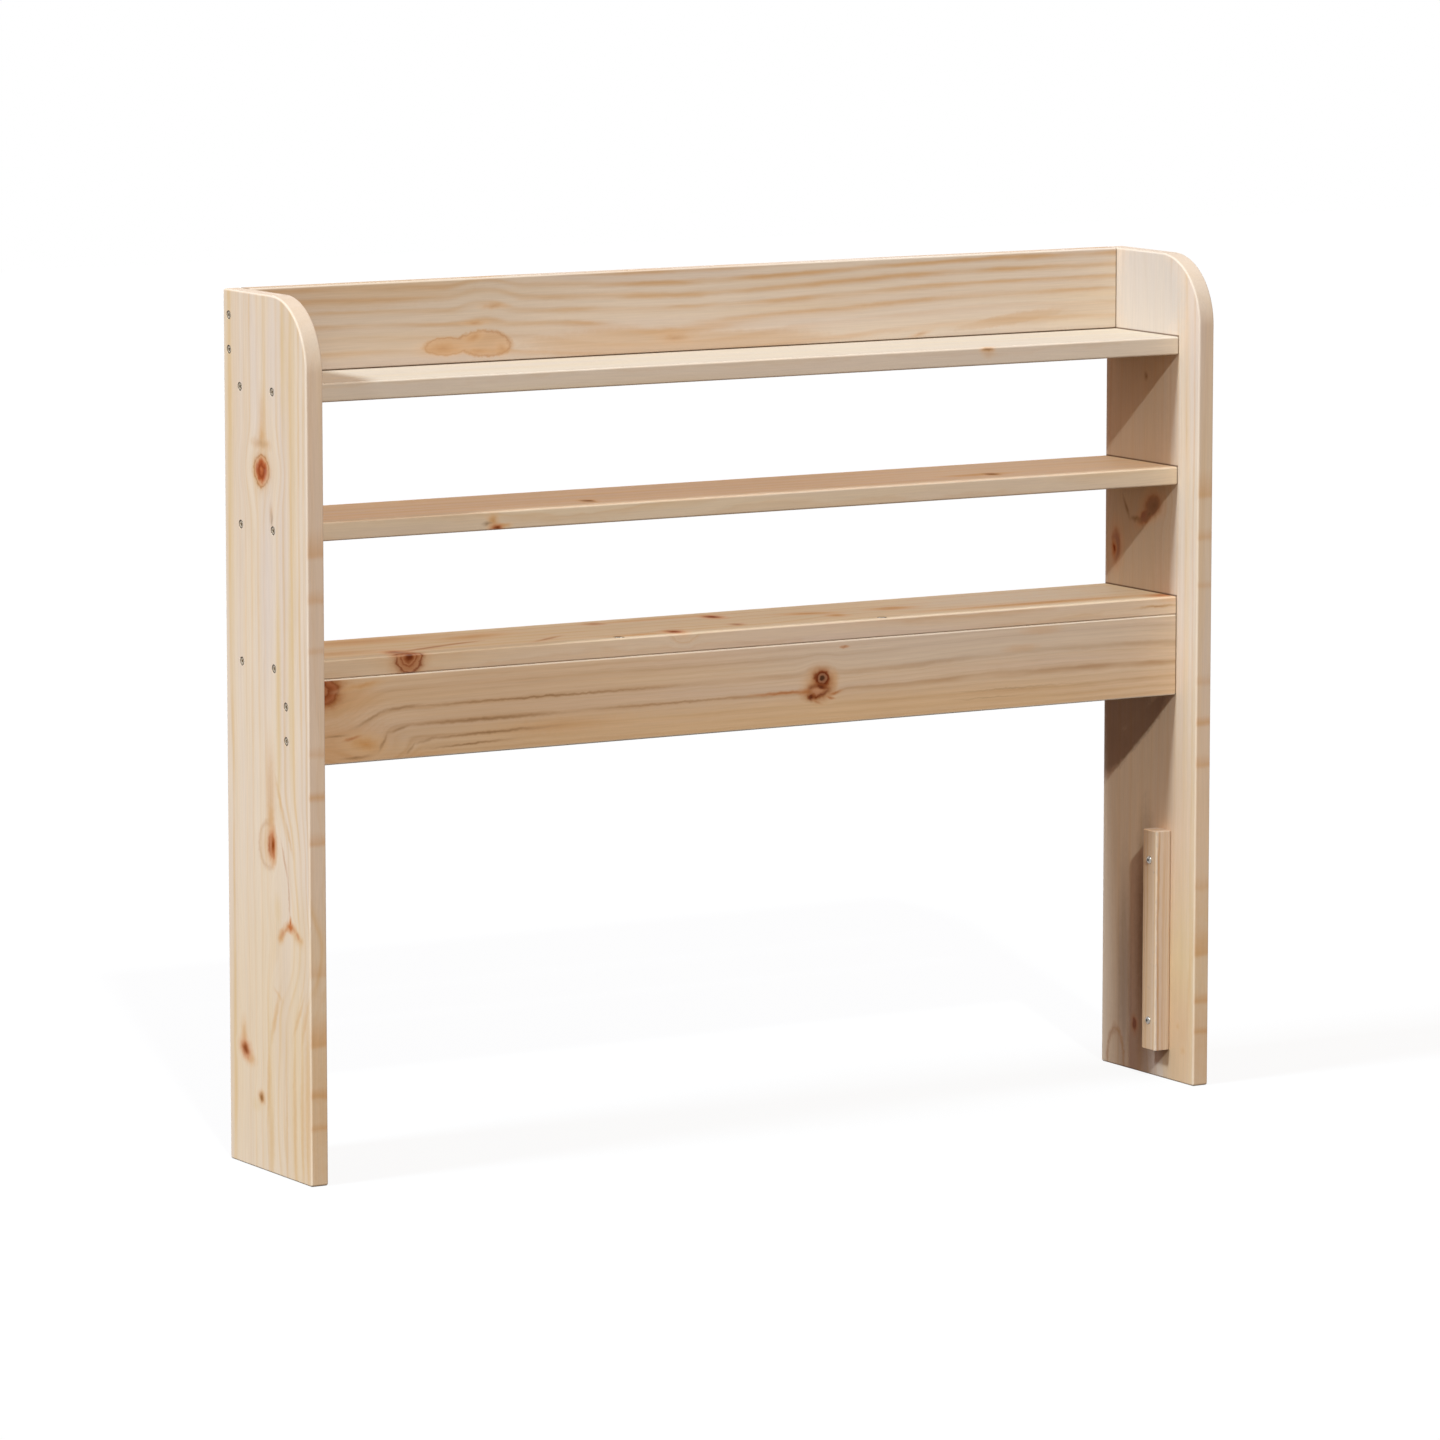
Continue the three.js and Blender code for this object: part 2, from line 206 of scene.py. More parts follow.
def pine(name, grain, box, seen, pith, years, pitch, ground, late, marks=(), bends=(), drift=6.0, fine=0.35,
         bands=(), joints=(), worn=0.5):
    """Planed and sanded pine, unfinished: pale wood with tan latewood, a soft matt surface and no gloss.

    A growth ring is a surface at one distance from the pith, a line along the grain. It is numbered by
    the height u at which it meets the seen face: u = pith + sqrt(distance^2 - depth^2), where depth is
    the face's distance from the pith. Smooth noise moves the point aside by up to drift, a bend lifts the
    rings by a bell's height, and round a knot they part. Sizes are in millimetres, in the frame's axes.

    ground is early wood's colour and late the tint over it, pitch and fine are the spacing and strength
    of the years that aren't named, and worn is how far the sanding and a painted highlight pale an arris.

    A year is where its latewood is darkest, its widths before and after, and its strength. A mark is a
    look, how strong it is, how much the rings part round it, and one or more ellipsoids that melt into one,
    each with its middle, half sizes and turn in the face. A bend is a middle, its reach and its lift.
    """
    face_axis, face = seen
    rise_axis = 3 - grain - face_axis
    rise_only = tuple(float(axis == rise_axis) for axis in range(3))
    mark_reach = 3.0

    def along(length, across):
        """Three numbers: length on the grain's axis and across on the others."""
        return tuple(length if axis == grain else across for axis in range(3))

    def streaks(places, length, width, detail, roughness=0.5, out=0):
        """Noise in patches about as long as length with the grain and as wide as width across it."""
        drawn_in = node(t, "VectorMath", {0: places, 1: along(1 / length, 1 / width)}, operation="MULTIPLY")
        return node(t, "TexNoise", {"Vector": drawn_in, "Scale": 1.0, "Detail": detail,
                                    "Roughness": roughness}, out=out)

    def shaken(noise, reach):
        """Each point moved aside: point + reach (noise - 0.5)."""
        signed = node(t, "VectorMath", {0: noise, 1: (0.5, 0.5, 0.5)}, operation="SUBTRACT")
        return node(t, "VectorMath", {0: signed, 1: reach, 2: point}, operation="MULTIPLY_ADD")

    material = bpy.data.materials.new(name)
    t = empty_tree(material)
    place = node(t, "TexCoord", out="Object")
    point = node(t, "VectorMath", {0: place, "Scale": 1 / MM}, operation="SCALE")
    flow = shaken(streaks(point, 260, 48, 2.0, 0.45, "Color"), along(0.0, 2 * drift))
    ragged = node(t, "TexNoise", {"Vector": point, "Scale": 0.1, "Detail": 2.0}, out="Color")
    ragged = shaken(ragged, along(7.0, 4.0))

    # Marks: knots, flames over them, lines and soft patches, with uneven rims
    covers = []
    mottle = node(t, "TexNoise", {"Vector": point, "Scale": 0.16, "Detail": 2.0, "Roughness": 0.6})
    mottle = node(t, "MapRange", {"Value": mottle, "From Min": 0.3, "From Max": 0.7, "To Min": -0.06,
                                  "To Max": 0.06})
    for look, tone, push, *shapes in marks:
        nearest = None
        for centre, size, *turn in shapes:
            turns = [math.radians(turn[0]) if turn and axis == face_axis else 0.0 for axis in range(3)]
            local = node(t, "Mapping", {"Vector": ragged, "Location": centre, "Rotation": turns,
                                        "Scale": tuple(mark_reach * s for s in size)}, vector_type="TEXTURE")
            away = node(t, "VectorMath", {0: local}, out="Value", operation="LENGTH")
            if nearest is not None:
                away = node(t, "Math", {0: away, 1: nearest, 2: 0.06}, operation="SMOOTH_MIN")
            nearest = away
        if push:
            pull = node(t, "MapRange", {"Value": nearest, "From Min": 0.15, "From Max": 1.3, "To Min": push,
                                        "To Max": 0.0}, interpolation_type="SMOOTHERSTEP")
            aside = node(t, "VectorMath", {0: point, 1: shapes[0][0]}, operation="SUBTRACT")
            aside = node(t, "VectorMath", {0: aside, 1: rise_only}, operation="MULTIPLY")
            aside = node(t, "VectorMath", {0: aside, "Scale": pull}, operation="SCALE")
            flow = node(t, "VectorMath", {0: flow, 1: aside}, operation="SUBTRACT")
        stops = [(distance / mark_reach, (*rgb(colour)[:3], cover * tone))
                 for distance, colour, cover in looks[look]]
        uneven = node(t, "Math", {0: mottle, 1: 1 / mark_reach, 2: nearest}, operation="MULTIPLY_ADD")
        cover = node(t, "ValToRGB", {"Fac": uneven}, stops=stops, out=None)
        covers.append((cover["Alpha"], cover["Color"], "MIX"))

    # Growth rings: u on the seen face, then each bend's bell and a slight shake
    depth = face - pith[face_axis]
    from_pith = node(t, "VectorMath", {0: flow, 1: pith}, operation="SUBTRACT")
    from_pith = node(t, "VectorMath", {0: from_pith, 1: along(0.0, 1.0)}, operation="MULTIPLY")
    square = node(t, "VectorMath", {0: from_pith, 1: from_pith}, out="Value", operation="DOT_PRODUCT")
    square = node(t, "Math", {0: square, 1: depth * depth}, operation="SUBTRACT")
    square = node(t, "Math", {0: square, 1: 1.0}, operation="MAXIMUM")
    u = node(t, "Math", {0: square}, operation="SQRT")
    u = node(t, "Math", {0: u, 1: pith[rise_axis]}, operation="ADD")
    for centre, reach, lift in bends:
        local = node(t, "Mapping", {"Vector": point, "Location": centre, "Scale": reach},
                     vector_type="TEXTURE")
        away = node(t, "VectorMath", {0: local}, out="Value", operation="LENGTH")
        bell = node(t, "MapRange", {"Value": away, "To Min": lift, "To Max": 0.0},
                    interpolation_type="SMOOTHERSTEP")
        u = node(t, "Math", {0: u, 1: bell}, operation="SUBTRACT")
    shake = 2.4
    u = node(t, "Math", {0: streaks(point, 22, 7, 1.0), 1: shake, 2: u}, operation="MULTIPLY_ADD")
    u = node(t, "Math", {0: u, 1: shake / 2}, operation="SUBTRACT")

    # Ground colour: cream with grey-rose and amber in long patches
    patch = streaks(flow, 600, 30, 2.0, out="Color")
    patch = node(t, "SeparateColor", {0: patch}, out=None)
    rose = node(t, "MapRange", {"Value": patch[0], "From Min": 0.42, "From Max": 0.68, "To Max": 0.9})
    amber = node(t, "MapRange", {"Value": patch[1], "From Min": 0.5, "From Max": 0.72, "To Max": 0.8})

    # Named years: a ramp over u that rises to each latewood band and falls after it
    vigour = node(t, "MapRange", {"Value": streaks(point, 120, 14, 1.0), "From Min": 0.35, "From Max": 0.62,
                                  "To Min": 0.4, "To Max": 1.05})
    rises = [(top - before, top, top + after, strength) for top, before, after, strength in years]
    named = crests(t, u, rises)
    named.node.color_ramp.interpolation = "EASE"
    named = node(t, "Math", {0: named, 1: vigour}, operation="MULTIPLY")

    # Fine years between them, of uneven width and strength
    uneven = node(t, "Math", {0: u, 1: 1 / (3.3 * pitch)}, operation="MULTIPLY")
    uneven = node(t, "TexNoise", {"W": uneven, "Scale": 1.0, "Detail": 1.0}, noise_dimensions="1D")
    turns = node(t, "Math", {0: u, 1: 1 / pitch}, operation="MULTIPLY")
    turns = node(t, "Math", {0: uneven, 1: 2.2, 2: turns}, operation="MULTIPLY_ADD")
    season = node(t, "Math", {0: turns}, operation="FRACT")
    year = node(t, "Math", {0: turns}, operation="FLOOR")
    share = node(t, "TexWhiteNoise", {"W": year}, out="Value", noise_dimensions="1D")
    share = node(t, "MapRange", {"Value": share, "To Min": 0.15 * fine, "To Max": fine})
    slim = node(t, "ValToRGB", {"Fac": season}, stops=[
        (0.0, (0.8,) * 4), (0.12, (0.1,) * 4), (0.45, (0.0,) * 4), (0.75, (0.5,) * 4), (0.95, (1.0,) * 4)])
    slim = node(t, "Math", {0: slim, 1: share}, operation="MULTIPLY")

    # Layers over the ground colour, the lowest first: how much of each, its colour and how it blends
    layers = [(rose, rgb("#F8F8FF"), "MULTIPLY"), (amber, rgb("#FDF6E8"), "MULTIPLY"),
              (named, rgb(late), "MULTIPLY"), (slim, rgb(late), "MULTIPLY"), *covers]

    # Arrises are sanded paler, and a painted highlight lies on them too: there the larger of the depths
    # under two faces is small
    depths = face_depths(t, point, *box)
    depths = [depths[axis] for axis in range(3) if axis != grain]
    if bands:
        depths[1], edge_layers = front_edge(t, point, bands, *box)
        layers += edge_layers
    edge = node(t, "Math", {0: depths[0], 1: depths[1]}, operation="MAXIMUM")
    sanded_and_highlight = node(t, "MapRange", {"Value": edge, "From Min": 0.9, "From Max": 2.3, "To Min": worn,
                                  "To Max": 0.0})
    layers.append((sanded_and_highlight, rgb("#F0E1CC"), "MIX"))

    # A joint's last millimetre, where board meets board, is dark with dust and painted contact shade.
    # A joint is a plane on an axis, kept within a reach of a middle on other axes
    axes = node(t, "SeparateXYZ", {0: point}, out=None)
    for axis, plane, *limits in joints:
        away = node(t, "Math", {0: axes[axis], 1: plane}, operation="SUBTRACT")
        away = node(t, "Math", {0: away}, operation="ABSOLUTE")
        dust_and_shade = node(t, "MapRange", {"Value": away, "From Min": 0.8, "From Max": 1.8, "To Min": 0.8,
                                     "To Max": 0.0})
        for limit_axis, centre, reach in limits:
            within = node(t, "Math", {0: axes[limit_axis], 1: centre, 2: reach}, operation="COMPARE")
            dust_and_shade = node(t, "Math", {0: dust_and_shade, 1: within}, operation="MULTIPLY")
        layers.append((dust_and_shade, rgb("#6E5038"), "MIX"))

    # Fibres: fine streaks along the grain, drawn a little coarser than the real ones so that they show
    fibre = streaks(flow, 70, 1.6, 3.0, 0.65)
    tint = node(t, "MapRange", {"Value": fibre, "From Min": 0.3, "From Max": 0.7, "To Min": 0.95,
                                "To Max": 1.04})
    tint = node(t, "CombineColor", {0: tint, 1: tint, 2: tint})
    layers.append((1.0, tint, "MULTIPLY"))
    colour = rgb(ground)
    for amount, tint, blend in layers:
        colour = node(t, "Mix", {0: amount, 6: colour, 7: tint}, out=2, data_type="RGBA", blend_type=blend)
    height = node(t, "Math", {0: named, 1: 0.4, 2: fibre}, operation="MULTIPLY_ADD")
    relief = node(t, "Bump", {"Height": height, "Strength": 0.3, "Distance": 0.1 * MM})
    sheen = node(t, "MapRange", {"Value": fibre, "To Min": 0.72, "To Max": 0.88})
    surface = node(t, "BsdfPrincipled", {"Base Color": colour, "Roughness": sheen, "Normal": relief,
                                         "IOR": 1.5, "Specular IOR Level": 0.01})
    node(t, "OutputMaterial", {"Surface": surface})
    return material


def crests(t, value, rises, margin=1.0):
    """A ramp over value: nothing up to a rise's foot, its strength at its top, and nothing after its end."""
    low, high = rises[0][0] - margin, rises[-1][2] + margin
    stops = []
    for foot, top, end, strength in rises:
        stops += [(foot, 0.0), (top, strength), (end, 0.0)]
    stops = [((at - low) / (high - low), (s, s, s, 1.0)) for at, s in stops]
    scaled = node(t, "MapRange", {"Value": value, "From Min": low, "From Max": high})
    return node(t, "ValToRGB", {"Fac": scaled}, stops=stops)


def face_depths(t, point, low, high):
    """A point's depths under a board's faces: half size - |point - middle| on each axis."""
    depths = node(t, "VectorMath", {0: point, 1: tuple((low + high) / 2 / MM)}, operation="SUBTRACT")
    depths = node(t, "VectorMath", {0: depths}, operation="ABSOLUTE")
    depths = node(t, "VectorMath", {0: tuple((high - low) / 2 / MM), 1: depths}, operation="SUBTRACT")
    return node(t, "SeparateXYZ", {0: depths}, out=None)


def front_edge(t, point, bands, low, high):
    """A point's depth under a panel's outline, and the layers of colour on the panel's narrow edge.

    The depth is panel_round - length(max(round_y - y, 0), max(z - round_z, 0)), and the edge is where it
    is under 1.6 mm. Tan bands cross it: a band is its foot's run, how far it fades and its strength, and
    the run is z + slant (y - front). The quarter round, cut across the rings, is an even greyish cream.
    """
    axes = node(t, "SeparateXYZ", {0: point}, out=None)
    front, top = low[1] / MM, high[2] / MM
    round_y, round_z = front + panel_round, top - panel_round
    ahead = node(t, "Math", {0: round_y, 1: axes[1]}, operation="SUBTRACT")
    ahead = node(t, "Math", {0: ahead, 1: 0.0}, operation="MAXIMUM")
    above = node(t, "Math", {0: axes[2], 1: round_z}, operation="SUBTRACT")
    above = node(t, "Math", {0: above, 1: 0.0}, operation="MAXIMUM")
    reach = node(t, "CombineXYZ", {0: ahead, 1: above})
    reach = node(t, "VectorMath", {0: reach}, out="Value", operation="LENGTH")
    on_edge = node(t, "MapRange", {"Value": reach, "From Min": panel_round - 1.6,
                                   "From Max": panel_round - 0.8})
    slant, sway = 0.6, 4.0
    wave = node(t, "TexNoise", {"Vector": point, "Scale": 1 / 14, "Detail": 1.0})
    run = node(t, "Math", {0: axes[1], 1: slant, 2: axes[2]}, operation="MULTIPLY_ADD")
    run = node(t, "Math", {0: wave, 1: sway, 2: run}, operation="MULTIPLY_ADD")
    run = node(t, "Math", {0: run, 1: -slant * front - sway / 2}, operation="ADD")
    rises = [(foot - 2.5, foot + 2.5, foot + fade, strength) for foot, fade, strength in bands]
    banding = node(t, "Math", {0: crests(t, run, rises), 1: on_edge}, operation="MULTIPLY")
    round_part = node(t, "MapRange", {"Value": axes[2], "From Min": round_z - 1, "From Max": round_z + 34,
                                      "To Max": 0.85})
    round_part = node(t, "Math", {0: round_part, 1: on_edge}, operation="MULTIPLY")
    outline = node(t, "Math", {0: panel_round, 1: reach}, operation="SUBTRACT")
    return outline, [(on_edge, rgb("#FBF8F6"), "MULTIPLY"), (banding, rgb("#F4DDC2"), "MULTIPLY"),
                     (round_part, rgb("#D2BEA7"), "MIX")]


def skin(name, rings):
    """A closed mesh: quads join each ring of points to the next, and a flat face closes each end."""
    count, around = rings.shape[:2]
    index = np.arange(count * around).reshape(count, around)
    quads = np.stack([index[:-1], np.roll(index[:-1], -1, 1), np.roll(index[1:], -1, 1), index[1:]], -1)
    faces = quads.reshape(-1, 4).tolist() + [index[0, ::-1].tolist(), index[-1].tolist()]
    mesh = bpy.data.meshes.new(name)
    mesh.from_pydata(rings.reshape(-1, 3).tolist(), [], faces)
    shell = bmesh.new()
    shell.from_mesh(mesh)
    bmesh.ops.recalc_face_normals(shell, faces=shell.faces)
    shell.to_mesh(mesh)
    shell.free()
    piece = bpy.data.objects.new(name, mesh)
    scene.collection.objects.link(piece)
    return piece


def cut(piece, cutters):
    """Takes each cutter's shape out of a piece, and drops the cutters."""
    for i, cutter in enumerate(cutters):
        knife = piece.modifiers.new(f"bore_{i}", "BOOLEAN")
        knife.operation = "DIFFERENCE"
        knife.solver = "EXACT"
        knife.object = cutter
        cutter.hide_render = True
    applied = bpy.data.meshes.new_from_object(piece.evaluated_get(bpy.context.evaluated_depsgraph_get()))
    piece.modifiers.clear()
    piece.data = applied
    for cutter in cutters:
        bpy.data.objects.remove(cutter)


def finish(piece, material, nodes):
    """Rounds a piece's shading, keeps its flat faces flat, and hands it to the frame."""
    piece.data.materials.clear()
    piece.data.materials.append(material)
    piece.data.shade_smooth()
    piece.data.set_sharp_from_angle(angle=math.radians(35))
    even = piece.modifiers.new("flat_faces_stay_flat", "WEIGHTED_NORMAL")
    even.keep_sharp = True
    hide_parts(*nodes)
    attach(piece, "root")


FACETS = 48


def turned(radius, height, seat, out):
    """Rings about an axis in X or Z through seat: point = seat + radius (cos a e1 + sin a e2) + height out,
    with one row of radius and of height for each ring."""
    a = np.arange(FACETS) * 2 * np.pi / FACETS
    e1 = np.array((0.0, 1.0, 0.0))
    e2 = np.cross(out, e1)
    ray = np.cos(a)[:, None] * e1 + np.sin(a)[:, None] * e2
    return seat + radius[..., None] * ray + height[..., None] * np.array(out)


def seat_of(screw_node, out):
    """Where a screw's head ends, on its own axis, from its box in the frame."""
    low, high = map(np.array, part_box(screw_node))
    out = np.array(out, float)
    return np.where(out > 0.5, high, np.where(out < -0.5, low, (low + high) / 2))


def easing(count, seed, size, share):
    """A sanded edge's radius along its run: size times one plus share times a sum of three slow sines."""
    rng = np.random.default_rng(seed)
    s = np.linspace(0.0, 1.0, count)
    waves = sum(np.sin(2 * np.pi * (n * s + rng.random())) / n for n in (1, 3, 5))
    return size * (1 + share * waves)


def corners(*steps):
    """A rectangle's four corners as quarter circles of so many steps: each point's corner, as the signs of
    its two coordinates, and its ray (cos a, sin a)."""
    signs = np.repeat(np.array([(-1, -1), (1, -1), (1, 1), (-1, 1)]), [n + 1 for n in steps], 0)
    turns = [np.pi + k * np.pi / 2 + np.linspace(0, np.pi / 2, n + 1) for k, n in enumerate(steps)]
    a = np.concatenate(turns)
    return signs, np.stack([np.cos(a), np.sin(a)], -1)


def rim(count):
    """An eased rim in count rings, for an easing of one: how far each is drawn in, 1 - sin a, and how far
    it stands from the end, 1 - cos a."""
    a = np.linspace(0, np.pi / 2, count)
    return 1 - np.sin(a), 1 - np.cos(a)


BOARD_NAMES = ("bottom_shelf", "middle_shelf", "top_shelf", "front_rail", "upper_back_board")
SIDES = {"left": -1.0, "right": 1.0}
rail_top_screws = [(f"rail_top_screw_{i}", (0.0, 0.0, 1.0)) for i in (1, 2)]
cleat_screws = {side: [(f"{side}_cleat_screw_{i}", (-sign, 0.0, 0.0)) for i in (1, 2)]
                for side, sign in SIDES.items()}
stepped_bore = ((5.3, 1.4), (5.3, -1.1), (3.5, -3.5), (3.5, -21.6), (2.6, -21.6), (2.6, -52.0))
plain_bore = ((2.5, 2.4), (2.5, -39.7))


def side_screws(sides, boards):
    """The furniture screws through some panels into some boards, each with the way its head looks."""
    return [(f"{side}_{board}_screw_{i}", (SIDES[side], 0.0, 0.0))
            for side in sides for board in boards for i in (1, 2)]


def bores(screws, profile):
    """The holes round some screws, turned from rows of radius and height from the head's top in millimetres:
    countersink, clearance hole and pilot hole, or one plain hole through a cleat into the panel."""
    radius, height = np.array(profile).T[..., None] * MM
    return [skin("bore", turned(radius, height, seat_of(screw_node, out), out))
            for screw_node, out in screws]


arris = 2.5 * MM
corner_radii = np.array((3.0, 3.0, 3.0, panel_round)) * MM
corner_steps = np.array((6, 6, 6, 56))


def panel_rings(low, high, seed):
    """The panel's outline, a rectangle with a quarter circle at each corner, inset along its normal by
    arris (1 - sin a) while the section turns through a from each face to the edge."""
    half = (high - low) / 2
    middle = (high + low) / 2
    signs, ray = corners(*corner_steps)
    radius = np.repeat(corner_radii, corner_steps + 1)[:, None]
    outline = signs * (half[1:] - radius) + radius * ray
    eased = easing(len(outline), seed, arris * 0.95, 0.05)
    inward, onward = rim(8)
    inset = np.concatenate([inward, inward[::-1]])[:, None] * eased
    onward = onward[:, None] * eased
    x = np.concatenate([half[0] - onward, onward[::-1] - half[0]])
    flat = outline[None] - inset[..., None] * ray[None]
    return np.concatenate([x[..., None], flat], -1) + middle


def placed(axis, depth, reach, marks):
    """Marks whose middles and half sizes are pairs on a face, set at a depth on the axis through it and
    reaching that far along it. A middle or size with three numbers keeps its own."""
    def full(numbers, value):
        return numbers if len(numbers) == 3 else (*numbers[:axis], value, *numbers[axis:])

    whole = []
    for look, tone, push, *shapes in marks:
        shapes = [(full(centre, depth), full(size, reach), *turn) for centre, size, *turn in shapes]
        whole.append((look, tone, push, *shapes))
    return whole


# The left panel's figure reaches through the board. On the right one the painted shade, a painted light
# strip along the back edge and the arch at the foot lie in the inner face alone.
mid_panel = 614
inner_face = 603
left_marks = placed(0, -mid_panel, 60, [
    ("tan", 0.35, 0, ((0, 150), (140, 190))),
    ("tan", 0.45, 0, ((-72, 90), (34, 150))),
    ("flame", 1, 0, ((10, 852), (21, 8)), ((8, 858), (10, 16))),
    ("flame", 0.5, 0, ((7, 885), (10, 32))),
    ("bark", 0.8, 0, ((10, 852), (19, 6))),
    ("flame", 0.9, 0, ((-8, 416), (9, 20))),
    ("flame", 0.6, 0, ((-7, 450), (13, 60))),
    ("flame", 0.3, 0, ((8, 385), (15, 24))),
    ("ring", 0.45, 0, ((0, 386), (23, 28))),
    ("live_knot", 1, 0.5, ((9, 821), (18, 20)), ((9, 822), (20.5, 16))),
    ("bark", 1, 0.3, ((-14, 772), (4.5, 13))),
    ("smudge", 1, 0, ((-16, 766), (2.2, 8))),
    ("red_knot", 1, 0.6, ((-9, 387), (8.5, 14)), ((-13, 385), (4, 14))),
    ("dark_knot", 1, 0, ((-12, 388), (4.5, 12))),
    ("line", 0.55, 0, ((-41, 372), (2.6, 26), -20), ((-51, 332), (2, 38), -5)),
    ("flame", 0.65, 0, ((-68, 289), (20, 8), 28), ((-36, 288), (16, 8), -35)),
    ("orange_knot", 0.7, 0, ((-62, 296), (7, 2.5), 20), ((-73, 289), (6, 2.5), 40),
     ((-46, 294), (7, 2.5), -28), ((-33, 286), (7, 4), -45)),
    ("orange_knot", 1, 0.5, ((-54, 297), (8, 4.5)), ((-54, 302), (2.6, 6))),
    ("flame", 0.7, 0, ((-29, 281), (8, 8)), ((-81, 284), (6, 5))),
    ("tan", 0.7, 0, ((-22, 312), (8, 20))),
    ("tan", 0.35, 0, ((-85, 290), (20, 50))),
    ("flame", 0.8, 0, ((48, 127), (14, 8)), ((64, 154), (9, 20))),
    ("dark_knot", 1, 0.5, ((61, 137), (10, 7.5), 25)),
    ("dot", 1, 0.4, ((21.5, 86), (6.5, 6))),
    ("band", 0.8, 0, ((-95, 90), (10, 130)), ((-3, 40), (8, 60))),
    ("band", 0.8, 0, ((-81, 75), (5, 95)), ((-89, 190), (4.5, 36), 18)),
    ("band", 0.8, 0, ((-62, 75), (5, 95)), ((-73, 194), (4.2, 34), 28)),
    ("band", 1, 0, ((2, 105), (6, 55), 2), ((-14, 184), (5.5, 40), 20)),
    ("band", 0.6, 0, ((-22, 214), (14, 3.5), 30), ((-42, 60), (3, 90))),
    ("band", 0.9, 0, ((-32, 440), (4, 34), -24), ((-52, 402), (4, 26), -24)),
    ("tan", 0.5, 0, ((34, 75), (13, 8))),
    ("tan", 0.8, 0, ((-46, 970), (8, 110))),
    ("tan", 0.7, 0, ((-68, 860), (9, 220))),
    ("tan", 0.4, 0, ((3, 950), (6, 90))),
    ("tan", 0.7, 0, ((88, 820), (8, 320))),
    ("rose", 0.7, 0, ((-18, 960), (13, 80))),
    ("rose", 0.8, 0, ((-6, 680), (17, 120))),
    ("rose", 0.6, 0, ((22, 930), (12, 90))),
    ("tan", 0.9, 0, ((-29, 560), (7, 130)), ((-60, 590), (8, 130))),
    ("tan", 0.5, 0, ((88, 120), (8, 190)), ((-3, 90), (8, 120))),
])
right_marks = placed(0, mid_panel, 60, [
    ("honey", 1, 0, ((0, 330), (150, 210))),
]) + placed(0, inner_face, 5, [
    ("biscuit", 0.5, 0, ((-72, 250), (36, 230))),
    # Painted light: a paler strip along the back edge of the inner face
    ("sapwood", 1, 0, ((103, 170), (27, 300), -3)),
    ("corner_shade", 1, 0, ((4, 168), (24, 150))),
    ("corner_shade", 0.6, 0, ((52, 125), (15, 135))),
    ("under_rail_shade", 1, 0, ((62, 474), (66, 50)), ((33, 425), (92, 15), -38), ((84, 410), (34, 32))),
    ("ring", 0.7, 0, ((70, 3), (20, 46))),
]) + placed(0, mid_panel, 60, [
    # Painted shade over the middle height of the right panel
    ("dusk", 0.9, 0, ((35, 740), (80, 270))),
    ("smudge", 1, 0.4, ((13, 871), (4, 6))),
    ("red_knot", 0.65, 0.5, ((-4, 712), (17, 12), -20), ((12, 698), (15, 8), -30)),
    ("smudge", 0.9, 0, ((-6, 712), (17, 11), -20), ((4, 700), (10, 4), -40)),
    ("smudge", 1, 0, ((33, 692), (15, 4)), ((54, 704), (3, 16), -30)),
    ("red_knot", 0.6, 0.5, ((77, 655), (10, 20))),
    ("dark_knot", 1, 0, ((81, 651), (3, 6))),
    ("red_knot", 0.7, 0.4, ((28, 58), (5, 8))),
    ("tan", 1, 0, ((-76, 90), (34, 170))),
    ("tan", 0.9, 0, ((-62, 80), (30, 110))),
    ("band", 0.6, 0, ((-92, 120), (5, 120), 5), ((-80, 60), (12, 26))),
    ("biscuit", 0.9, 0, ((-74, 45), (34, 85))),
    ("flame", 0.45, 0, ((-68, 70), (5, 7)), ((-79, 42), (7, 7))),
    # Painted shade over the panel's top, where warm light bounces from the top shelf
    ("chalk", 1, 0, ((10, 972), (78, 72))),
    ("tan", 0.45, 0, ((-80, 600), (6, 300)), ((-96, 250), (5, 300))),
])
panel_wood = {
    "left": {
        "ground": "#EBD2B4", "seen": (0, -625), "pith": (-540, -300, 0), "marks": left_marks,
        "years": [(-95, 5, 3, 0.7), (-83, 5, 4, 0.7), (-64, 8, 5, 0.8), (-44, 7, 5, 0.7), (-28, 6, 4, 0.6),
                  (3, 6, 5, 0.6), (18, 5, 4, 0.5), (36, 5, 4, 0.5), (50, 4, 4, 0.5), (88, 8, 5, 0.9)],
        "bends": [((-625, -60, 272), (60, 88, 108), -36), ((-625, -52, 368), (60, 75, 100), -22),
                  ((-625, -40, 70), (60, 100, 110), 8)],
    },
    "right": {
        "ground": "#E5CFB6", "seen": (0, inner_face), "pith": (540, -330, 0), "marks": right_marks,
        "years": [(-92, 4, 3, 0.6), (-76, 5, 4, 0.6), (-58, 5, 4, 0.5), (-40, 4, 4, 0.6), (-22, 4, 4, 0.6),
                  (-5, 5, 4, 0.5), (16, 4, 4, 0.6), (41, 4, 4, 0.7), (66, 5, 4, 0.6), (90, 5, 4, 0.7)],
        "bends": [((inner_face, -20, 120), (60, 80, 220), 10)],
    },
}
edge_bands = [(66, 9, 0.8), (103, 14, 0.9), (163, 40, 0.9), (245, 20, 0.5), (398, 16, 0.8), (450, 12, 1.0),
              (500, 14, 0.5), (620, 9, 0.6), (678, 16, 0.7), (730, 36, 0.8)]

